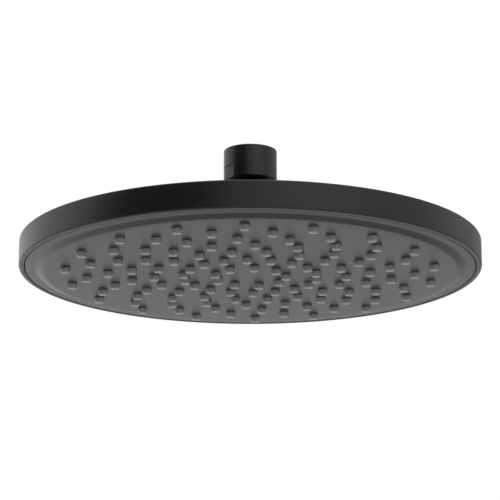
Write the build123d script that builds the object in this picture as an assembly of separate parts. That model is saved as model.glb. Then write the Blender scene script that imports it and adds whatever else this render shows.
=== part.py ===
"""Rain shower head with a swivel ball inlet, in millimetres.

The origin is the centre of the inlet's mouth and +Z is up, so the head hangs below it with its face down.
"""

import math
import os

from build123d import *

# Inlet collar, turned in one piece with the neck and the ball
COLLAR_DIAMETER = 26.8
COLLAR_HEIGHT = 16.2
COLLAR_EDGE = 0.4
FLATS_COUNT = 2
FLATS_ACROSS = 25.7
FLATS_HEIGHT = 6.6
FLATS_TURN = 34.5
THREAD_MINOR_DIAMETER = 18.63
THREAD_LEAD_IN = 0.8
RELIEF_DIAMETER = 20.4
WATERWAY_DIAMETER = 9.0
NECK_DIAMETER = 13.0
SHOULDER_DIAMETER = 25.0
SHOULDER_HEIGHT = 1.5
NECK_REACH = 12.8

# Flow regulator, filter and washer, stacked on the floor of the inlet socket
REGULATOR_THICKNESS = 2.6
REGULATOR_CHANNEL_DIAMETER = 11.0
REGULATOR_CHANNEL_WIDTH = 2.6
REGULATOR_CHANNEL_DEPTH = 1.4
REGULATOR_SLOTS = 8
REGULATOR_SLOT_DIAMETER = 1.2
FILTER_THICKNESS = 0.4
FILTER_HOLE_DIAMETER = 1.1
FILTER_HOLE_PITCH = 1.8
FILTER_HOLE_ROWS = 3
WASHER_THICKNESS = 1.8
WASHER_HOLE_DIAMETER = 13.0
SOCKET_FLOOR = 3.0
STACK_HEADROOM = 0.2

# Swivel: nut, slip ring and seal round the ball, sized from the nut inwards
TILT = 15.0
NUT_DIAMETER = 32.4
NUT_WALL = 2.1
NUT_TOP_RISE = 8.8
NUT_EDGE = 1.5
NUT_FLAT_DEPTH = 0.7
NUT_FLAT_HEIGHT = 7.0
MOUTH_CLEARANCE = 0.5
NUT_FLANGE_GAP = 0.5
BALL_CLEARANCE = 0.1
LINER_WALL = 1.4
LINER_TOP_ANGLE = 56.0
LINER_BOTTOM_ANGLE = 84.0
SEAL_TOP_DROP = 4.5
SEAL_HOLE_DIAMETER = 12.0

# Spigot that carries the ball's seat and clamps the casing
BALL_FLOOR_ROOM = 1.0
CUP_FLOOR_RISE = 0.4
CUP_TOP_DROP = 3.0
CUP_CLEARANCE = 0.4
CUP_WALL = 2.6
FLANGE_ACROSS = 34.0
FLANGE_THICKNESS = 3.0
FLANGE_FACE_SHARE = 0.95
FLANGE_EDGE = 1.9
SHANK_DIAMETER = 20.4
SHANK_BORE_DIAMETER = 11.0
SHANK_TAIL = 0.6
GASKET_THICKNESS = 1.0
SHANK_SEAL_THICKNESS = 1.5
LOCK_WASHER_THICKNESS = 1.0
LOCK_NUT_THICKNESS = 4.0
LOCK_NUT_ACROSS = 27.0
CLAMP_DIAMETER = 30.0
THREAD_CLEARANCE = 0.1

# Casing
RIM_DIAMETER = 230.0
RIM_HEIGHT = 13.35
RIM_TOP_ROUND = 0.8
LIP_ROUND = 1.4
LIP_INSIDE_ROUND = 0.3
SHELL_SIDE_WALL = 2.65
SHELL_TOP_WALL = 2.2
CROWN_RISE = 4.6
CROWN_BULGE = 1.2
BOSS_DIAMETER = 60.0

# Spray face
FACE_GAP = 0.45
FACE_RECESS = 0.1
BORDER_WIDTH = 4.9
BORDER_DEPTH = 4.5
STEP_WIDTH = 3.9
STEP_DEPTH = 1.65
STEP_ROUND = 6.0
FACE_BULGE = 0.56
PLATEAU_THICKNESS = 2.3
FACE_EDGE = 0.2
POCKET_WALL = 3.8

# Nozzles: share of the plateau's radius, number of nozzles and first nozzle's angle of each ring
RING_SHARES = (0.173, 0.3235, 0.4639, 0.58, 0.6869, 0.7934, 0.8924)
RING_COUNTS = (9, 18, 18, 18, 18, 18, 18)
RING_STARTS = (36.1, 7.5, 19.4, 12.2, 5.1, 17.3, 8.4)
MAT_THICKNESS = 1.6
MAT_CLEARANCE = 0.2
NOZZLE_DIAMETER = 5.3
NOZZLE_CLEARANCE = 0.1
NOZZLE_HEIGHT = 2.3
NOZZLE_TIP_DIAMETER = 4.2
JET_DIAMETER = 0.9

# Water chamber
CHAMBER_GAP = 3.9
LID_WALL = 2.5
LID_CLEARANCE = 0.3
HUB_DIAMETER = 52.0
SKIRT_WIDTH = 3.0
SEAL_RING_INSET = 2.3
SEAL_RING_WIDTH = 2.2
SEAL_RING_HEIGHT = 1.6
SEAL_RING_CLEARANCE = 0.1

# Screws through the lid into the face's border
SCREW_COUNT = 12
SCREW_INSET = 4.6
SCREW_DIAMETER = 2.9
SCREW_LENGTH = 6.0
SCREW_CLEARANCE = 0.1
SCREW_HEAD_DIAMETER = 5.4
SCREW_HEAD_HEIGHT = 1.7
SCREW_HEAD_ROUND = 0.7
SCREW_RECESS_ACROSS = 1.6
SCREW_RECESS_DEPTH = 0.9

# Radii that several pieces share
NUT_RADIUS = NUT_DIAMETER / 2
NUT_THREAD = NUT_RADIUS - NUT_WALL
CUP_OUTSIDE = NUT_THREAD - THREAD_CLEARANCE
CUP_RADIUS = CUP_OUTSIDE - CUP_WALL
BALL_RADIUS = CUP_RADIUS - CUP_CLEARANCE
LINER_INSIDE = BALL_RADIUS + BALL_CLEARANCE
LINER_OUTSIDE = LINER_INSIDE + LINER_WALL
NUT_SEAT = LINER_OUTSIDE + BALL_CLEARANCE
SHANK_HOLE = SHANK_DIAMETER / 2 + THREAD_CLEARANCE
SHELL_INSIDE = RIM_DIAMETER / 2 - SHELL_SIDE_WALL
FACE_RADIUS = SHELL_INSIDE - FACE_GAP
STEP_OUTSIDE = FACE_RADIUS - BORDER_WIDTH
PLATEAU_RADIUS = STEP_OUTSIDE - STEP_WIDTH
POCKET_RADIUS = PLATEAU_RADIUS - POCKET_WALL
MAT_RADIUS = POCKET_RADIUS - MAT_CLEARANCE
SEAL_RING_INSIDE = POCKET_RADIUS + SEAL_RING_INSET
SEAL_RING_OUTSIDE = SEAL_RING_INSIDE + SEAL_RING_WIDTH
SCREW_CIRCLE = FACE_RADIUS - SCREW_INSET
SCREW_HOLE = SCREW_DIAMETER / 2 + SCREW_CLEARANCE

# Heights, from the inlet's mouth down to the nozzle tips
SOCKET_BOTTOM = -(COLLAR_HEIGHT - SOCKET_FLOOR)
REGULATOR_TOP = SOCKET_BOTTOM + REGULATOR_THICKNESS
FILTER_TOP = REGULATOR_TOP + FILTER_THICKNESS
WASHER_TOP = FILTER_TOP + WASHER_THICKNESS
RELIEF_TOP = WASHER_TOP + STACK_HEADROOM
BALL_Z = -(COLLAR_HEIGHT + NECK_REACH)
FLANGE_TOP = BALL_Z - BALL_RADIUS - BALL_FLOOR_ROOM
FLANGE_UNDERSIDE = FLANGE_TOP - FLANGE_THICKNESS
BOSS_TOP = FLANGE_UNDERSIDE - GASKET_THICKNESS
BOSS_UNDERSIDE = BOSS_TOP - SHELL_TOP_WALL
HUB_UNDERSIDE = BOSS_UNDERSIDE - LID_WALL
SHANK_SEAL_UNDERSIDE = HUB_UNDERSIDE - SHANK_SEAL_THICKNESS
LOCK_WASHER_UNDERSIDE = SHANK_SEAL_UNDERSIDE - LOCK_WASHER_THICKNESS
LOCK_NUT_UNDERSIDE = LOCK_WASHER_UNDERSIDE - LOCK_NUT_THICKNESS
RIM_TOP = BOSS_TOP - CROWN_RISE
LIP = RIM_TOP - RIM_HEIGHT
BORDER = LIP + FACE_RECESS
BORDER_BACK = BORDER + BORDER_DEPTH
PLATEAU = BORDER - STEP_DEPTH
POCKET_FLOOR = PLATEAU + PLATEAU_THICKNESS
MAT_TOP = POCKET_FLOOR + MAT_THICKNESS
CHAMBER_ROOF = MAT_TOP + CHAMBER_GAP


def turned(outline, rounds=(), arcs=()):
    """Turns a closed outline of (radius, height) points about Z.

    Rounds lists the corners that are round, with their radii, and arcs the edges that are arcs, by
    number, with their middle points.
    """
    corners = [(r, 0, z) for r, z in outline]
    edges = [Line(start, end) for start, end in zip(corners, corners[1:] + corners[:1])]
    for number, (r, z) in arcs:
        edges[number] = ThreePointArc(edges[number] @ 0, (r, 0, z), edges[number] @ 1)
    face = make_face(edges)
    for (r, z), radius in rounds:
        corner = face.vertices().sort_by_distance((r, 0, z))[0]
        face = fillet(corner, radius)
    return revolve(face, Axis.Z)


def ring(outside, inside, bottom, top):
    """A plain ring, or a disc where inside is zero."""
    return turned([(inside, bottom), (outside, bottom), (outside, top), (inside, top)])


def hexagon(across, bottom, top):
    """A hexagonal prism between two heights, by its size across the flats."""
    return Pos(0, 0, bottom) * extrude(RegularPolygon(across / 2, 6, major_radius=False), top - bottom)


def round_the_axis(count, radius, start=0.0):
    """Evenly spaced places on a circle about Z."""
    return PolarLocations(radius, count, start_angle=start)


def around_ball(radius, angle):
    """A point at a distance from the ball's centre, by its angle from straight up."""
    turn = math.radians(angle)
    return radius * math.sin(turn), 0, BALL_Z + radius * math.cos(turn)


def face_height(radius):
    """Height of the spray face, a shallow part of a ball that is lowest in its middle."""
    ball = (PLATEAU_RADIUS**2 + FACE_BULGE**2) / (2 * FACE_BULGE)
    return PLATEAU + ball - FACE_BULGE - math.sqrt(ball**2 - radius**2)


def nozzle_rings():
    """Each ring's radius with the places of its nozzles."""
    rings = []
    for share, count, start in zip(RING_SHARES, RING_COUNTS, RING_STARTS):
        radius = share * PLATEAU_RADIUS
        rings.append((radius, list(round_the_axis(count, radius, start))))
    return rings


def rods(places, radius, bottom, top):
    """Cylinders of one size at several places."""
    rod = Pos(0, 0, bottom) * Cylinder(radius, top - bottom, align=(Align.CENTER, Align.CENTER, Align.MIN))
    return [place * rod for place in places]


def flats(radius, depth, bottom, height):
    """Blocks that cut a pair of spanner flats into a round piece."""
    block = Box(2 * depth, 2 * radius, height, align=(Align.CENTER, Align.CENTER, Align.MIN))
    return [place * Pos(0, 0, bottom) * block for place in round_the_axis(FLATS_COUNT, radius, FLATS_TURN)]


def swivel_collar():
    """Inlet socket, spanner flats, neck and ball in one piece, with the waterway through it."""
    outside = COLLAR_DIAMETER / 2
    minor = THREAD_MINOR_DIAMETER / 2
    relief = RELIEF_DIAMETER / 2
    neck = NECK_DIAMETER / 2
    shoulder = SHOULDER_DIAMETER / 2
    body = turned(
        [
            (minor + THREAD_LEAD_IN, 0),
            (outside, 0),
            (outside, -COLLAR_HEIGHT),
            (shoulder, -COLLAR_HEIGHT),
            (neck, -COLLAR_HEIGHT - SHOULDER_HEIGHT),
            (neck, BALL_Z),
            (0, BALL_Z),
            (0, SOCKET_BOTTOM),
            (relief, SOCKET_BOTTOM),
            (relief, RELIEF_TOP),
            (minor, RELIEF_TOP),
            (minor, -THREAD_LEAD_IN),
        ],
        rounds=[((outside, 0), COLLAR_EDGE), ((outside, -COLLAR_HEIGHT), COLLAR_EDGE)],
    )
    body -= flats(outside, outside - FLATS_ACROSS / 2, -COLLAR_HEIGHT, FLATS_HEIGHT)
    body += Pos(0, 0, BALL_Z) * Sphere(BALL_RADIUS)
    waterway = ring(WATERWAY_DIAMETER / 2, 0, BALL_Z - BALL_RADIUS, SOCKET_BOTTOM)
    return body - waterway


def stack_radius():
    """What lies in the socket is as wide as its thread lets in."""
    return THREAD_MINOR_DIAMETER / 2 - STACK_HEADROOM


def regulator_body():
    """Disc with a round channel for the elastic ring, and slots through the channel's floor."""
    inside = (REGULATOR_CHANNEL_DIAMETER - REGULATOR_CHANNEL_WIDTH) / 2
    outside = (REGULATOR_CHANNEL_DIAMETER + REGULATOR_CHANNEL_WIDTH) / 2
    disc = ring(stack_radius(), 0, SOCKET_BOTTOM, REGULATOR_TOP)
    disc -= ring(outside, inside, REGULATOR_TOP - REGULATOR_CHANNEL_DEPTH, REGULATOR_TOP)
    outlet = ring(WATERWAY_DIAMETER / 2, 0, SOCKET_BOTTOM, SOCKET_BOTTOM + REGULATOR_SLOT_DIAMETER / 2)
    slot_places = round_the_axis(REGULATOR_SLOTS, WATERWAY_DIAMETER / 2)
    slots = rods(slot_places, REGULATOR_SLOT_DIAMETER / 2, SOCKET_BOTTOM, REGULATOR_TOP)
    return disc - outlet - slots


def regulator_ring():
    """Elastic ring that narrows the regulator's slots as the pressure rises."""
    half = REGULATOR_CHANNEL_DEPTH / 2 - STACK_HEADROOM / 2
    middle = REGULATOR_TOP - REGULATOR_CHANNEL_DEPTH + half
    return Pos(0, 0, middle) * Torus(REGULATOR_CHANNEL_DIAMETER / 2, half)


def filter_screen():
    """Stainless disc with rings of small holes."""
    disc = ring(stack_radius(), 0, REGULATOR_TOP, FILTER_TOP)
    places = [Pos(0, 0)]
    for row in range(1, FILTER_HOLE_ROWS + 1):
        places += list(round_the_axis(6 * row, row * FILTER_HOLE_PITCH))
    return disc - rods(places, FILTER_HOLE_DIAMETER / 2, REGULATOR_TOP, FILTER_TOP)


def inlet_washer():
    """Sealing washer under the shower arm's end."""
    return ring(stack_radius(), WASHER_HOLE_DIAMETER / 2, FILTER_TOP, WASHER_TOP)


def ball_liner():
    """Slip ring, a zone of a hollow ball, between the ball and the nut."""
    angles = [LINER_TOP_ANGLE, (LINER_TOP_ANGLE + LINER_BOTTOM_ANGLE) / 2, LINER_BOTTOM_ANGLE]
    inside = ThreePointArc(*[around_ball(LINER_INSIDE, angle) for angle in angles])
    outside = ThreePointArc(*[around_ball(LINER_OUTSIDE, angle) for angle in reversed(angles)])
    ends = [Line(inside @ 1, outside @ 0), Line(outside @ 1, inside @ 0)]
    return revolve(make_face([inside, ends[0], outside, ends[1]]), Axis.Z)


def swivel_nut():
    """Nut with a round seat for the slip ring, and a mouth that the neck leans into."""
    top = BALL_Z + NUT_TOP_RISE
    bottom = FLANGE_TOP + NUT_FLANGE_GAP
    cup_top = BALL_Z - CUP_TOP_DROP
    lean = math.radians(TILT)
    mouth = NECK_DIAMETER / 2 / math.cos(lean) + NUT_TOP_RISE * math.tan(lean) + MOUTH_CLEARANCE
    nut = turned(
        [(0, bottom), (NUT_RADIUS, bottom), (NUT_RADIUS, top), (0, top)],
        rounds=[((NUT_RADIUS, top), NUT_EDGE)],
    )
    nut -= flats(NUT_RADIUS, NUT_FLAT_DEPTH, bottom, NUT_FLAT_HEIGHT)
    nut -= ring(NUT_THREAD, 0, bottom, cup_top + THREAD_CLEARANCE)
    nut -= ring(NUT_SEAT, 0, cup_top, BALL_Z)
    nut -= ring(mouth, 0, BALL_Z, top)
    return nut - Pos(0, 0, BALL_Z) * Sphere(NUT_SEAT)


def ball_seal():
    """Rubber seat in the spigot's cup, hollowed to the ball."""
    floor = FLANGE_TOP + CUP_FLOOR_RISE
    seat = ring(CUP_RADIUS - CUP_CLEARANCE / 2, SEAL_HOLE_DIAMETER / 2, floor, BALL_Z - SEAL_TOP_DROP)
    return seat - Pos(0, 0, BALL_Z) * Sphere(LINER_INSIDE)


def spigot():
    """Cup for the ball with the nut's thread, a hexagon flange and a threaded shank with the waterway."""
    shank = SHANK_DIAMETER / 2
    bore = SHANK_BORE_DIAMETER / 2
    floor = FLANGE_TOP + CUP_FLOOR_RISE
    face = FLANGE_FACE_SHARE * FLANGE_ACROSS / 2
    beyond_corners = 0.6 * FLANGE_ACROSS
    edge = FLANGE_TOP - FLANGE_EDGE
    blank = turned(
        [
            (0, FLANGE_UNDERSIDE),
            (beyond_corners, FLANGE_UNDERSIDE),
            (beyond_corners, edge),
            (face, FLANGE_TOP),
            (0, FLANGE_TOP),
        ]
    )
    body = blank & hexagon(FLANGE_ACROSS, FLANGE_UNDERSIDE, FLANGE_TOP)
    body += ring(CUP_OUTSIDE, 0, FLANGE_TOP, BALL_Z - CUP_TOP_DROP)
    body += ring(shank, 0, LOCK_NUT_UNDERSIDE - SHANK_TAIL, FLANGE_UNDERSIDE)
    body -= ring(CUP_RADIUS, 0, floor, BALL_Z - CUP_TOP_DROP)
    return body - ring(bore, 0, LOCK_NUT_UNDERSIDE - SHANK_TAIL, floor)


def flange_gasket():
    """Gasket between the spigot's flange and the casing's boss."""
    return ring(FLANGE_ACROSS / 2, SHANK_HOLE, BOSS_TOP, FLANGE_UNDERSIDE)


def shank_seal():
    """Rubber washer that closes the hub's hole round the shank."""
    return ring(CLAMP_DIAMETER / 2, SHANK_HOLE, SHANK_SEAL_UNDERSIDE, HUB_UNDERSIDE)


def lock_washer():
    """Washer between the rubber and the lock nut."""
    return ring(CLAMP_DIAMETER / 2, SHANK_HOLE, LOCK_WASHER_UNDERSIDE, SHANK_SEAL_UNDERSIDE)


def lock_nut():
    """Thin hexagon nut on the shank, inside the water chamber."""
    nut = hexagon(LOCK_NUT_ACROSS, LOCK_NUT_UNDERSIDE, LOCK_WASHER_UNDERSIDE)
    return nut - ring(SHANK_HOLE, 0, LOCK_NUT_UNDERSIDE, LOCK_WASHER_UNDERSIDE)


def back_shell():
    """Casing: upright rim, low crown and a flat boss with the shank's hole."""
    outside = RIM_DIAMETER / 2
    boss = BOSS_DIAMETER / 2
    swell = CROWN_BULGE - CROWN_RISE / 2
    return turned(
        [
            (SHANK_HOLE, BOSS_TOP),
            (boss, BOSS_TOP),
            (outside, RIM_TOP),
            (outside, LIP),
            (SHELL_INSIDE, LIP),
            (SHELL_INSIDE, RIM_TOP - SHELL_TOP_WALL),
            (boss, BOSS_UNDERSIDE),
            (SHANK_HOLE, BOSS_UNDERSIDE),
        ],
        rounds=[
            ((outside, RIM_TOP), RIM_TOP_ROUND),
            ((outside, LIP), LIP_ROUND),
            ((SHELL_INSIDE, LIP), LIP_INSIDE_ROUND),
        ],
        arcs=[
            (1, ((boss + outside) / 2, BOSS_TOP + swell)),
            (5, ((boss + SHELL_INSIDE) / 2, BOSS_UNDERSIDE + swell)),
        ],
    )


def face_plate():
    """Spray face: flat border inside the lip, soft step and a swollen plateau with the nozzles' holes."""
    groove_outside = SEAL_RING_OUTSIDE + SEAL_RING_CLEARANCE
    groove_inside = SEAL_RING_INSIDE - SEAL_RING_CLEARANCE
    plate = turned(
        [
            (0, face_height(0)),
            (PLATEAU_RADIUS, PLATEAU),
            (STEP_OUTSIDE, BORDER),
            (FACE_RADIUS, BORDER),
            (FACE_RADIUS, BORDER_BACK),
            (POCKET_RADIUS, BORDER_BACK),
            (POCKET_RADIUS, POCKET_FLOOR),
            (0, POCKET_FLOOR),
        ],
        rounds=[
            ((PLATEAU_RADIUS, PLATEAU), STEP_ROUND),
            ((STEP_OUTSIDE, BORDER), STEP_ROUND),
            ((FACE_RADIUS, BORDER), FACE_EDGE),
        ],
        arcs=[(0, (PLATEAU_RADIUS / 2, face_height(PLATEAU_RADIUS / 2)))],
    )
    plate -= ring(groove_outside, groove_inside, BORDER_BACK - SEAL_RING_HEIGHT, BORDER_BACK)
    nozzle_hole = NOZZLE_DIAMETER / 2 + NOZZLE_CLEARANCE
    for _, places in nozzle_rings():
        plate -= rods(places, nozzle_hole, face_height(0) - NOZZLE_HEIGHT, POCKET_FLOOR)
    screws = round_the_axis(SCREW_COUNT, SCREW_CIRCLE)
    pilot_bottom = BORDER_BACK + LID_WALL - SCREW_LENGTH - SCREW_CLEARANCE
    return plate - rods(screws, SCREW_HOLE, pilot_bottom, BORDER_BACK)


def nozzle_mat():
    """Silicone sheet with all nozzles, each with a jet hole and as long as the face is thick there."""
    sheet = ring(MAT_RADIUS, 0, POCKET_FLOOR, MAT_TOP)
    neck = NOZZLE_DIAMETER / 2
    end = NOZZLE_TIP_DIAMETER / 2
    for radius, places in nozzle_rings():
        root = face_height(radius)
        tip = root - NOZZLE_HEIGHT
        nozzle = turned([(0, tip), (end, tip), (neck, root), (neck, MAT_TOP), (0, MAT_TOP)])
        sheet += [place * nozzle for place in places]
        sheet -= rods(places, JET_DIAMETER / 2, tip, MAT_TOP)
    return sheet


def chamber_lid():
    """Roof of the water chamber: flange on the border, skirt on the mat's edge, hub round the shank."""
    outside = SHELL_INSIDE - LID_CLEARANCE
    skirt_outside = POCKET_RADIUS - MAT_CLEARANCE
    skirt_inside = skirt_outside - SKIRT_WIDTH
    hub = HUB_DIAMETER / 2
    flange_top = BORDER_BACK + LID_WALL
    lid = turned(
        [
            (SHANK_HOLE, BOSS_UNDERSIDE),
            (hub, BOSS_UNDERSIDE),
            (hub, CHAMBER_ROOF + LID_WALL),
            (skirt_outside, CHAMBER_ROOF + LID_WALL),
            (skirt_outside, flange_top),
            (outside, flange_top),
            (outside, BORDER_BACK),
            (skirt_outside, BORDER_BACK),
            (skirt_outside, MAT_TOP),
            (skirt_inside, MAT_TOP),
            (skirt_inside, CHAMBER_ROOF),
            (hub - LID_WALL, CHAMBER_ROOF),
            (hub - LID_WALL, HUB_UNDERSIDE),
            (SHANK_HOLE, HUB_UNDERSIDE),
        ]
    )
    screws = round_the_axis(SCREW_COUNT, SCREW_CIRCLE)
    return lid - rods(screws, SCREW_HOLE, BORDER_BACK, flange_top)


def chamber_seal():
    """Rubber ring in the groove of the face's border."""
    return ring(SEAL_RING_OUTSIDE, SEAL_RING_INSIDE, BORDER_BACK - SEAL_RING_HEIGHT, BORDER_BACK)


def face_screws():
    """Pan head screws with a square recess, all round the border."""
    seat = BORDER_BACK + LID_WALL
    head = seat + SCREW_HEAD_HEIGHT
    shank = SCREW_DIAMETER / 2
    screw = turned(
        [
            (0, seat - SCREW_LENGTH),
            (shank, seat - SCREW_LENGTH),
            (shank, seat),
            (SCREW_HEAD_DIAMETER / 2, seat),
            (SCREW_HEAD_DIAMETER / 2, head),
            (0, head),
        ],
        rounds=[((SCREW_HEAD_DIAMETER / 2, head), SCREW_HEAD_ROUND)],
    )
    recess = Box(SCREW_RECESS_ACROSS, SCREW_RECESS_ACROSS, 2 * SCREW_RECESS_DEPTH)
    screw -= Pos(0, 0, head) * recess
    places = round_the_axis(SCREW_COUNT, SCREW_CIRCLE)
    return Compound([(place * screw).solid() for place in places])


PIECES = (
    swivel_collar,
    regulator_body,
    regulator_ring,
    filter_screen,
    inlet_washer,
    ball_liner,
    swivel_nut,
    ball_seal,
    spigot,
    flange_gasket,
    shank_seal,
    lock_washer,
    lock_nut,
    back_shell,
    face_plate,
    nozzle_mat,
    chamber_lid,
    chamber_seal,
    face_screws,
)

os.makedirs("parts", exist_ok=True)
for piece in PIECES:
    export_step(piece(), f"parts/{piece.__name__}.step")
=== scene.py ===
import math

import bpy
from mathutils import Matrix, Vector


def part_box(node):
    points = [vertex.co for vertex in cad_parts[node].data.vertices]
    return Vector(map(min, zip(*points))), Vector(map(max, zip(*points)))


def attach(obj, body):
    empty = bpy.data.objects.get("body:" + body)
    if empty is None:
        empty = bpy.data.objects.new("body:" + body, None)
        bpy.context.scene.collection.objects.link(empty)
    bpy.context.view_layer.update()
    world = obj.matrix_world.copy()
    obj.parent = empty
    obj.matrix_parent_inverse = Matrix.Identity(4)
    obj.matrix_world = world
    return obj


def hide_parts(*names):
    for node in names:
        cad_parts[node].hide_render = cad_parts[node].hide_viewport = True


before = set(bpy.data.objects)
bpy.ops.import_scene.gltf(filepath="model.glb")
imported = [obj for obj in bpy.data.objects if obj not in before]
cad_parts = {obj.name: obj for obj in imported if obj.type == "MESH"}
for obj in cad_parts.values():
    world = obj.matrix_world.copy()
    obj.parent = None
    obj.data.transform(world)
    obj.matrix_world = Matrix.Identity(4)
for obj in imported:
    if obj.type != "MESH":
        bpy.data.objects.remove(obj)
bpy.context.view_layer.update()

# Inlet collar: socket, spanner flats, neck and ball turned from one bar of brass and coated matte black.
# Its G 1/2 thread is cut inside, down to a relief for the washer. It screws onto the shower arm.
MM = 0.001
FULL_TURN = 2 * math.pi
OPPOSITE = 180
SNAP = 0.002 * MM
TURNED_SIDES = 192
ROUND_SEGMENTS = 4
SMOOTH_ANGLE = 30
SPECK_DETAIL = 4
SPECK_LOW = 0.3
SPECK_HIGH = 0.7
GRAIN_HEIGHT = 0.02 * MM
COLLAR_BOTTOM = -16.2 * MM
COLLAR_EDGE = 0.4 * MM
FLATS_HEIGHT = 6.6 * MM
FLATS_DEPTH = 0.55 * MM
FLATS_TURN = 34.5
SOCKET_FLOOR = -13.2 * MM
RELIEF_TOP = -8.2 * MM
RELIEF_RADIUS = 10.2 * MM
LEAD_IN = 0.8 * MM
THREAD_MINOR = 9.315 * MM
THREAD_MAJOR = 10.479 * MM
THREAD_PITCH = 1.814 * MM
THREAD_ROOT = 0.09 * THREAD_PITCH
THREAD_CREST = 0.46 * THREAD_PITCH
THREAD_OVERCUT = 0.15 * MM
THREAD_START = 0.7 * MM
THREAD_TURNS = 5
THREAD_STEPS = 48
SHOULDER_RADIUS = 12.5 * MM
SHOULDER_HEIGHT = 1.5 * MM
NECK_RADIUS = 6.5 * MM
BALL_CENTRE = -29.0 * MM
BALL_RADIUS = 11.0 * MM
BALL_STEPS = 40
WATERWAY = 4.5 * MM


def draw(name, outline):
    """Draws a closed outline of (radius, height) points beside the inlet's axis, in edit mode."""
    bpy.ops.object.select_all(action="DESELECT")
    bpy.ops.mesh.primitive_plane_add(size=MM)
    piece = bpy.context.object
    piece.name = name
    bpy.ops.object.mode_set(mode="EDIT")
    bpy.ops.mesh.select_mode(type="VERT")
    bpy.ops.mesh.select_all(action="SELECT")
    bpy.ops.mesh.merge(type="CENTER")
    bpy.ops.transform.translate(value=(outline[0][0], 0, outline[0][1]))
    for (radius, height), (next_radius, next_height) in zip(outline, outline[1:] + outline[:1]):
        step = (next_radius - radius, 0, next_height - height)
        bpy.ops.mesh.extrude_region_move(TRANSFORM_OT_translate={"value": step})
    bpy.ops.mesh.select_all(action="SELECT")
    bpy.ops.mesh.remove_doubles(threshold=SNAP)
    return piece


def lathe(name, outline, sides=TURNED_SIDES):
    """Turns an outline about the inlet's axis."""
    piece = draw(name, outline)
    bpy.ops.mesh.spin(steps=sides, angle=FULL_TURN, center=(0, 0, 0), axis=(0, 0, 1))
    bpy.ops.mesh.select_all(action="SELECT")
    bpy.ops.mesh.remove_doubles(threshold=SNAP)
    bpy.ops.mesh.normals_make_consistent(inside=False)
    bpy.ops.object.mode_set(mode="OBJECT")
    return piece


def round_edge(piece, radius, height, size, segments=ROUND_SEGMENTS):
    """Rounds the circular edge that a turned piece has at that radius and height."""
    bpy.ops.object.mode_set(mode="EDIT")
    bpy.ops.mesh.select_mode(type="EDGE")
    bpy.ops.mesh.select_all(action="DESELECT")
    bpy.ops.object.mode_set(mode="OBJECT")
    places = [vertex.co for vertex in piece.data.vertices]
    near = [math.hypot(math.hypot(co.x, co.y) - radius, co.z - height) < SNAP for co in places]
    for edge in piece.data.edges:
        edge.select = all(near[corner] for corner in edge.vertices)
    bpy.ops.object.mode_set(mode="EDIT")
    bpy.ops.mesh.bevel(offset=size, segments=segments, affect="EDGES")
    bpy.ops.object.mode_set(mode="OBJECT")


def cut(piece, cutter):
    """Takes the cutter's shape out of a piece and throws the cutter away."""
    difference = piece.modifiers.new("cut", "BOOLEAN")
    difference.operation = "DIFFERENCE"
    difference.solver = "EXACT"
    difference.object = cutter
    bpy.context.view_layer.objects.active = piece
    bpy.ops.object.modifier_apply(modifier=difference.name)
    bpy.data.objects.remove(cutter)


def spanner_flats(piece, radius, depth, bottom, height, turn):
    """Mills a pair of flats into a round piece, at an angle in degrees and opposite it."""
    for angle in (turn, turn + OPPOSITE):
        bpy.ops.object.select_all(action="DESELECT")
        bpy.ops.mesh.primitive_cube_add(size=1)
        cutter = bpy.context.object
        bpy.ops.object.mode_set(mode="EDIT")
        bpy.ops.transform.resize(value=(2 * depth, 2 * radius, height))
        bpy.ops.transform.translate(value=(radius, 0, bottom + height / 2))
        bpy.ops.object.mode_set(mode="OBJECT")
        cutter.rotation_euler.z = math.radians(angle)
        bpy.ops.object.transform_apply(rotation=True)
        cut(piece, cutter)


def thread_ridge():
    """A ridge of the thread's shape that winds down about the axis, to cut the inside thread with."""
    inner = THREAD_MINOR - THREAD_OVERCUT
    corners = [
        (inner, THREAD_START - THREAD_CREST),
        (inner, THREAD_START + THREAD_CREST),
        (THREAD_MAJOR, THREAD_START + THREAD_ROOT),
        (THREAD_MAJOR, THREAD_START - THREAD_ROOT),
    ]
    ridge = draw("thread_ridge", corners)
    bpy.ops.object.mode_set(mode="OBJECT")
    winding = ridge.modifiers.new("winding", "SCREW")
    winding.screw_offset = -THREAD_PITCH
    winding.iterations = THREAD_TURNS
    winding.steps = THREAD_STEPS
    winding.render_steps = THREAD_STEPS
    bpy.ops.object.modifier_apply(modifier=winding.name)
    bpy.ops.object.mode_set(mode="EDIT")
    bpy.ops.mesh.select_all(action="SELECT")
    bpy.ops.mesh.remove_doubles(threshold=SNAP)
    bpy.ops.mesh.select_all(action="DESELECT")
    bpy.ops.mesh.select_mode(type="EDGE")
    bpy.ops.mesh.select_non_manifold()
    bpy.ops.mesh.fill_holes(sides=len(corners))
    bpy.ops.mesh.select_all(action="SELECT")
    bpy.ops.mesh.normals_make_consistent(inside=False)
    bpy.ops.object.mode_set(mode="OBJECT")
    return ridge


def smooth(piece, angle=SMOOTH_ANGLE):
    """Shades a piece smooth except at edges sharper than an angle in degrees."""
    bpy.ops.object.select_all(action="DESELECT")
    piece.select_set(True)
    bpy.context.view_layer.objects.active = piece
    bpy.ops.object.shade_smooth_by_angle(angle=math.radians(angle))


def grey(shade):
    """A neutral colour."""
    return (shade, shade, shade)


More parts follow.
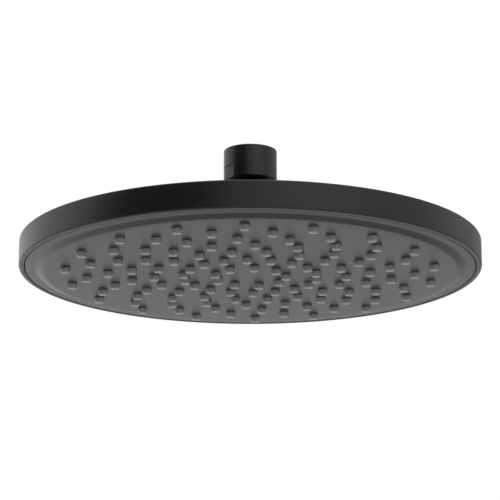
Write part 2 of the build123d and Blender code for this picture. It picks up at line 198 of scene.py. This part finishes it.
def finish(name, tones, roughness, grain, relief, metal=0.0):
    """A surface of two near tones in fine specks, with an uneven sheen and a slight grain."""
    surface = bpy.data.materials.new(name)
    surface.use_nodes = True
    nodes = surface.node_tree.nodes
    links = surface.node_tree.links
    shader = nodes["Principled BSDF"]
    shader.inputs["Metallic"].default_value = metal
    place = nodes.new("ShaderNodeTexCoord")
    specks = nodes.new("ShaderNodeTexNoise")
    specks.inputs["Scale"].default_value = grain
    specks.inputs["Detail"].default_value = SPECK_DETAIL
    links.new(place.outputs["Object"], specks.inputs["Vector"])
    tone = nodes.new("ShaderNodeValToRGB")
    tone.color_ramp.elements[0].position = SPECK_LOW
    tone.color_ramp.elements[0].color = (*tones[0], 1)
    tone.color_ramp.elements[1].position = SPECK_HIGH
    tone.color_ramp.elements[1].color = (*tones[1], 1)
    links.new(specks.outputs["Fac"], tone.inputs["Fac"])
    links.new(tone.outputs["Color"], shader.inputs["Base Color"])
    sheen = nodes.new("ShaderNodeMapRange")
    sheen.inputs["From Min"].default_value = SPECK_LOW
    sheen.inputs["From Max"].default_value = SPECK_HIGH
    sheen.inputs["To Min"].default_value = roughness[0]
    sheen.inputs["To Max"].default_value = roughness[1]
    links.new(specks.outputs["Fac"], sheen.inputs["Value"])
    links.new(sheen.outputs["Result"], shader.inputs["Roughness"])
    bump = nodes.new("ShaderNodeBump")
    bump.inputs["Strength"].default_value = relief
    bump.inputs["Distance"].default_value = GRAIN_HEIGHT
    links.new(specks.outputs["Fac"], bump.inputs["Height"])
    links.new(bump.outputs["Normal"], shader.inputs["Normal"])
    return surface


def wear(piece, surface):
    """Gives a whole piece one finish."""
    piece.data.materials.clear()
    piece.data.materials.append(surface)


collar_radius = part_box("swivel_collar")[1].x
neck_angle = math.asin(NECK_RADIUS / BALL_RADIUS)
outlet_angle = math.pi - math.asin(WATERWAY / BALL_RADIUS)
ball_arc = [
    neck_angle + (outlet_angle - neck_angle) * step / BALL_STEPS
    for step in range(BALL_STEPS + 1)
]
collar = lathe(
    "inlet_collar",
    [
        (THREAD_MINOR + LEAD_IN, 0),
        (collar_radius, 0),
        (collar_radius, COLLAR_BOTTOM),
        (SHOULDER_RADIUS, COLLAR_BOTTOM),
        (NECK_RADIUS, COLLAR_BOTTOM - SHOULDER_HEIGHT),
        *[
            (BALL_RADIUS * math.sin(angle), BALL_CENTRE + BALL_RADIUS * math.cos(angle))
            for angle in ball_arc
        ],
        (WATERWAY, SOCKET_FLOOR),
        (RELIEF_RADIUS, SOCKET_FLOOR),
        (RELIEF_RADIUS, RELIEF_TOP),
        (THREAD_MINOR, RELIEF_TOP),
        (THREAD_MINOR, -LEAD_IN),
    ],
)
round_edge(collar, collar_radius, 0, COLLAR_EDGE)
round_edge(collar, collar_radius, COLLAR_BOTTOM, COLLAR_EDGE)
spanner_flats(collar, collar_radius, FLATS_DEPTH, COLLAR_BOTTOM, FLATS_HEIGHT, FLATS_TURN)
cut(collar, thread_ridge())
smooth(collar)
black_coat = finish(
    "matte_black_coat",
    tones=(grey(0.005), grey(0.008)),
    roughness=(0.33, 0.41),
    grain=2600,
    relief=0.25,
)
wear(collar, black_coat)
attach(collar, "collar")
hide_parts("swivel_collar")

# Flow regulator: a white acetal disc with an elastic ring in its channel, dropped into the socket first.
# The ring squeezes the disc's slots as the pressure rises.
acetal = finish(
    "white_acetal",
    tones=((0.78, 0.78, 0.74), (0.84, 0.84, 0.81)),
    roughness=(0.38, 0.5),
    grain=900,
    relief=0.1,
)
rubber = finish(
    "black_rubber",
    tones=(grey(0.014), grey(0.024)),
    roughness=(0.6, 0.75),
    grain=1500,
    relief=0.3,
)
wear(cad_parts["regulator_body"], acetal)
wear(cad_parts["regulator_ring"], rubber)

# Filter screen and inlet washer: a punched stainless disc on the regulator and a rubber washer over it.
# The shower arm's end presses the washer tight.
stainless = finish(
    "bright_stainless",
    tones=((0.58, 0.57, 0.55), (0.66, 0.65, 0.63)),
    roughness=(0.2, 0.34),
    grain=1400,
    relief=0.15,
    metal=1.0,
)
wear(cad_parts["filter_screen"], stainless)
wear(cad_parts["inlet_washer"], rubber)

# Swivel: the coated nut holds the ball down on its rubber seat, with a white slip ring between.
# It screws onto the spigot's cup and is tightened by its two flats.
wear(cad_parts["ball_liner"], acetal)
wear(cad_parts["swivel_nut"], black_coat)
wear(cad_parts["ball_seal"], rubber)

# Spigot: coated brass with the cup, a hexagon flange and a hollow shank that goes through the casing.
# A gasket lies under the flange.
wear(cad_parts["spigot"], black_coat)
wear(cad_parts["flange_gasket"], rubber)

# Casing: one thin moulding with an upright rim, a low crown and a flat boss for the spigot.
# It is matte black outside and in, and hangs from the spigot's flange.
RIM_TOP_ROUND = 0.8 * MM
LIP_ROUND = 0.95 * MM
LIP_SEGMENTS = 8
LIP_INSIDE_ROUND = 0.3 * MM
SIDE_WALL = 2.65 * MM
TOP_WALL = 2.2 * MM
CROWN_RISE = 4.6 * MM
CROWN_BULGE = 1.2 * MM
CROWN_STEPS = 24
BOSS_RADIUS = 30.0 * MM
SHANK_HOLE = 10.3 * MM
shell_low, shell_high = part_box("back_shell")
rim_radius = shell_high.x
shell_inside = rim_radius - SIDE_WALL
boss_top = shell_high.z
boss_underside = boss_top - TOP_WALL
rim_top = boss_top - CROWN_RISE
lip = shell_low.z


def crown(start, end):
    """Points of the casing's low crown between two corners, swollen most halfway between them."""
    points = []
    for step in range(CROWN_STEPS + 1):
        share = step / CROWN_STEPS
        swell = CROWN_BULGE * (1 - (2 * share - 1) ** 2)
        radius = start[0] + (end[0] - start[0]) * share
        points.append((radius, start[1] + (end[1] - start[1]) * share + swell))
    return points


shell = lathe(
    "casing",
    [
        (SHANK_HOLE, boss_top),
        *crown((BOSS_RADIUS, boss_top), (rim_radius, rim_top)),
        (rim_radius, lip),
        (shell_inside, lip),
        *reversed(crown((BOSS_RADIUS, boss_underside), (shell_inside, rim_top - TOP_WALL))),
        (SHANK_HOLE, boss_underside),
    ],
)
round_edge(shell, rim_radius, rim_top, RIM_TOP_ROUND)
round_edge(shell, rim_radius, lip, LIP_ROUND, LIP_SEGMENTS)
round_edge(shell, shell_inside, lip, LIP_INSIDE_ROUND)
smooth(shell)
casing_black = finish(
    "matte_black_casing",
    tones=(grey(0.005), grey(0.008)),
    roughness=(0.33, 0.41),
    grain=2600,
    relief=0.25,
)
wear(shell, casing_black)
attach(shell, "head")
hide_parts("back_shell")

# Chamber lid: a dark moulding that roofs the water chamber, clamped under the casing's boss.
# A rubber seal, a stainless washer and a brass nut on the shank pull it up tight.
inner_dark = finish(
    "dark_inner_moulding",
    tones=((0.07, 0.07, 0.075), (0.09, 0.09, 0.095)),
    roughness=(0.45, 0.6),
    grain=1200,
    relief=0.2,
)
brass = finish(
    "turned_brass",
    tones=((0.68, 0.48, 0.21), (0.76, 0.56, 0.27)),
    roughness=(0.22, 0.36),
    grain=1600,
    relief=0.15,
    metal=1.0,
)
wear(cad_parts["chamber_lid"], inner_dark)
wear(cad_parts["shank_seal"], rubber)
wear(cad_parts["lock_washer"], stainless)
wear(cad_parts["lock_nut"], brass)

# Spray face: a matte black moulding with a flat border, a soft step down and a slightly swollen plateau.
# Every nozzle comes out through its own hole; twelve screws from behind hold the face to the lid.
FACE_GAP = 0.45 * MM
FACE_RECESS = 0.1 * MM
FACE_EDGE = 0.2 * MM
BORDER_WIDTH = 4.9 * MM
BORDER_DEPTH = 4.5 * MM
STEP_WIDTH = 3.9 * MM
STEP_DEPTH = 1.65 * MM
STEP_SOFTENING = 0.8 * MM
FACE_BULGE = 0.56 * MM
FACE_STEPS = 16
PLATEAU_THICKNESS = 2.3 * MM
POCKET_WALL = 3.8 * MM
NOZZLE_RADIUS = 2.65 * MM
NOZZLE_GAP = 0.1 * MM
RING_SHARES = (0.173, 0.3235, 0.4639, 0.58, 0.6869, 0.7934, 0.8924)
RING_COUNTS = (9, 18, 18, 18, 18, 18, 18)
RING_STARTS = (36.1, 7.5, 19.4, 12.2, 5.1, 17.3, 8.4)
HOLE_SIDES = 24
HOLE_OVERCUT = 1.0 * MM
border = lip + FACE_RECESS
border_back = border + BORDER_DEPTH
plateau = border - STEP_DEPTH
face_radius = shell_inside - FACE_GAP
step_radius = face_radius - BORDER_WIDTH
plateau_radius = step_radius - STEP_WIDTH
pocket_radius = plateau_radius - POCKET_WALL
pocket_floor = plateau + PLATEAU_THICKNESS


def face_height(radius):
    """Height of the face, which swells a little towards its middle."""
    return plateau - FACE_BULGE * (1 - (radius / plateau_radius) ** 2)


def rod(radius, bottom, top, sides=HOLE_SIDES):
    """A plain rod on the axis, to cut holes with."""
    bpy.ops.object.select_all(action="DESELECT")
    bpy.ops.mesh.primitive_cylinder_add(vertices=sides, radius=radius, depth=top - bottom)
    bpy.ops.object.mode_set(mode="EDIT")
    bpy.ops.transform.translate(value=(0, 0, (bottom + top) / 2))
    bpy.ops.object.mode_set(mode="OBJECT")
    return bpy.context.object


def at_every_nozzle(pattern, name):
    """Copies a piece that stands on the axis to every nozzle's place, ring by ring, as one mesh."""
    rings = []
    for share, count, start in zip(RING_SHARES, RING_COUNTS, RING_STARTS):
        bpy.ops.object.select_all(action="DESELECT")
        pattern.select_set(True)
        bpy.context.view_layer.objects.active = pattern
        bpy.ops.object.duplicate()
        copy = bpy.context.object
        radius = share * plateau_radius
        angle = math.radians(start)
        dip = face_height(radius) - plateau
        bpy.ops.object.mode_set(mode="EDIT")
        bpy.ops.mesh.select_all(action="SELECT")
        bpy.ops.transform.translate(
            value=(radius * math.cos(angle), radius * math.sin(angle), dip)
        )
        bpy.ops.mesh.spin(
            steps=count - 1,
            dupli=True,
            angle=FULL_TURN * (count - 1) / count,
            center=(0, 0, 0),
            axis=(0, 0, 1),
        )
        bpy.ops.object.mode_set(mode="OBJECT")
        rings.append(copy)
    bpy.data.objects.remove(pattern)
    bpy.ops.object.select_all(action="DESELECT")
    for copy in rings:
        copy.select_set(True)
    bpy.context.view_layer.objects.active = rings[0]
    bpy.ops.object.join()
    rings[0].name = name
    return rings[0]


face_curve = [plateau_radius * step / FACE_STEPS for step in range(FACE_STEPS + 1)]
face = lathe(
    "spray_face",
    [
        *[(radius, face_height(radius)) for radius in face_curve],
        (step_radius, border),
        (face_radius, border),
        (face_radius, border_back),
        (pocket_radius, border_back),
        (pocket_radius, pocket_floor),
        (0, pocket_floor),
    ],
)
round_edge(face, plateau_radius, plateau, STEP_SOFTENING)
round_edge(face, step_radius, border, STEP_SOFTENING)
round_edge(face, face_radius, border, FACE_EDGE)
hole_rod = rod(NOZZLE_RADIUS + NOZZLE_GAP, plateau - HOLE_OVERCUT, pocket_floor + HOLE_OVERCUT)
cut(face, at_every_nozzle(hole_rod, "nozzle_holes"))
smooth(face)
face_black = finish(
    "matte_black_face",
    tones=(grey(0.005), grey(0.008)),
    roughness=(0.3, 0.38),
    grain=3200,
    relief=0.25,
)
wear(face, face_black)
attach(face, "head")
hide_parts("face_plate")

# Nozzle mat: one grey silicone sheet behind the face, with a short blunt nozzle in every hole.
# Each nozzle has its jet down the middle; it is moulded in one shot and rubbed to break off lime.
MAT_THICKNESS = 1.6 * MM
MAT_GAP = 0.2 * MM
NOZZLE_ROOT_DEPTH = 0.1 * MM
NOZZLE_LENGTH = 2.3 * MM
NOZZLE_CONE_LENGTH = 2.04 * MM
NOZZLE_CONE_RADIUS = 2.24 * MM
NOZZLE_ROUND_LENGTH = 2.23 * MM
NOZZLE_ROUND_RADIUS = 2.14 * MM
NOZZLE_TIP_RADIUS = 1.98 * MM
JET_RADIUS = 0.45 * MM
NOZZLE_SIDES = 16
NOZZLE_SMOOTH_ANGLE = 50
mat_radius = pocket_radius - MAT_GAP
mat_top = pocket_floor + MAT_THICKNESS
nozzle_root = mat_top - NOZZLE_ROOT_DEPTH
nozzle = lathe(
    "nozzle",
    [
        (JET_RADIUS, nozzle_root),
        (NOZZLE_RADIUS, nozzle_root),
        (NOZZLE_RADIUS, plateau),
        (NOZZLE_CONE_RADIUS, plateau - NOZZLE_CONE_LENGTH),
        (NOZZLE_ROUND_RADIUS, plateau - NOZZLE_ROUND_LENGTH),
        (NOZZLE_TIP_RADIUS, plateau - NOZZLE_LENGTH),
        (JET_RADIUS, plateau - NOZZLE_LENGTH),
    ],
    sides=NOZZLE_SIDES,
)
mat = lathe(
    "nozzle_sheet",
    [(0, pocket_floor), (mat_radius, pocket_floor), (mat_radius, mat_top), (0, mat_top)],
)
jet_rod = rod(JET_RADIUS, pocket_floor - HOLE_OVERCUT, mat_top + HOLE_OVERCUT, NOZZLE_SIDES)
cut(mat, at_every_nozzle(jet_rod, "jet_holes"))
nozzles = at_every_nozzle(nozzle, "nozzles")
bpy.ops.object.select_all(action="DESELECT")
nozzles.select_set(True)
mat.select_set(True)
bpy.context.view_layer.objects.active = mat
bpy.ops.object.join()
mat.name = "silicone_nozzles"
smooth(mat, NOZZLE_SMOOTH_ANGLE)
silicone_grey = finish(
    "grey_silicone",
    tones=(grey(0.205), grey(0.245)),
    roughness=(0.2, 0.3),
    grain=1800,
    relief=0.2,
)
wear(mat, silicone_grey)
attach(mat, "head")
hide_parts("nozzle_mat")

# Chamber seal and face screws: a rubber ring in the border's groove and twelve stainless pan heads.
# The screws go down through the lid into the face's border.
wear(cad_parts["chamber_seal"], rubber)
wear(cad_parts["face_screws"], stainless)

# Floor: a plain pale floor two metres under the inlet, as under a ceiling shower.
# It is one even matte grey, and the face above mirrors it faintly.
FLOOR_DROP = 2.0
FLOOR_SIZE = 60.0
FLOOR_SHADE = 0.72
FLOOR_ROUGHNESS = 0.9


def plain(name, shade, roughness):
    """An even grey surface for what isn't part of the head."""
    surface = bpy.data.materials.new(name)
    surface.use_nodes = True
    shader = surface.node_tree.nodes["Principled BSDF"]
    shader.inputs["Base Color"].default_value = (*grey(shade), 1)
    shader.inputs["Roughness"].default_value = roughness
    return surface


bpy.ops.object.select_all(action="DESELECT")
bpy.ops.mesh.primitive_plane_add(size=FLOOR_SIZE, location=(0, 0, -FLOOR_DROP))
floor = bpy.context.object
floor.name = "floor"
floor.data.materials.append(plain("pale_floor", FLOOR_SHADE, FLOOR_ROUGHNESS))

# Studio: an even white surround with a soft light at the back left, a black card at the front left and
# grey ones at the right. The cards give the rim its dark and light bands, and the camera doesn't see them.
STUDIO_RADIUS = 2.2
CARD_TOP = 2.2
CARD_ROUGHNESS = 1.0
UPRIGHT = math.radians(90)
LIGHT_SIDE = -145
LIGHT_HEIGHT = -0.4
LIGHT_WIDTH = 2.0
LIGHT_RADIANCE = 0.25
SURROUND_STRENGTH = 1.0


def stand(side, height):
    """Place and turn of what faces the head from an angle in degrees to the right of the camera."""
    angle = math.radians(side)
    place = (STUDIO_RADIUS * math.sin(angle), -STUDIO_RADIUS * math.cos(angle), height)
    return {"location": place, "rotation": (UPRIGHT, 0, angle)}


def card(name, side, width, bottom, shade):
    """An upright card that faces the head."""
    bpy.ops.object.select_all(action="DESELECT")
    bpy.ops.mesh.primitive_plane_add(size=1, **stand(side, (bottom + CARD_TOP) / 2))
    flag = bpy.context.object
    flag.name = name
    flag.scale = (width, CARD_TOP - bottom, 1)
    flag.visible_camera = False
    flag.data.materials.append(plain(name, shade, CARD_ROUGHNESS))


card("black_card", side=-44, width=2.95, bottom=-0.6, shade=0.005)
card("front_card", side=4, width=0.5, bottom=-0.4, shade=0.75)
card("right_card", side=86, width=2.6, bottom=-1.0, shade=0.85)
card("back_right_card", side=144, width=1.7, bottom=-2.0, shade=0.65)
bpy.ops.object.light_add(type="AREA", **stand(LIGHT_SIDE, LIGHT_HEIGHT))
soft_light = bpy.context.object
soft_light.name = "soft_light"
soft_light.data.shape = "RECTANGLE"
soft_light.data.size = LIGHT_WIDTH
soft_light.data.size_y = LIGHT_WIDTH
soft_light.data.energy = LIGHT_RADIANCE * math.pi * LIGHT_WIDTH**2
surround = bpy.data.worlds.new("white_surround")
surround.use_nodes = True
background = surround.node_tree.nodes["Background"]
background.inputs["Color"].default_value = (*grey(1), 1)
background.inputs["Strength"].default_value = SURROUND_STRENGTH
bpy.context.scene.world = surround
bpy.context.scene.view_settings.view_transform = "Standard"

# Camera: a long lens from below and in front, as the photograph was taken.
# It stands about a metre in front of the inlet and a third of a metre lower, and is tipped up.
CAMERA_LEFT = 0.00013
CAMERA_BACK = 1.0649
CAMERA_DROP = 0.33808
CAMERA_PITCH = 15.057
CAMERA_LENS = 158.8
CAMERA_NEAREST = 0.01
bpy.ops.object.camera_add(
    location=(-CAMERA_LEFT, -CAMERA_BACK, -CAMERA_DROP),
    rotation=(UPRIGHT + math.radians(CAMERA_PITCH), 0, 0),
)
camera = bpy.context.object
camera.data.lens = CAMERA_LENS
camera.data.clip_start = CAMERA_NEAREST
bpy.context.scene.camera = camera
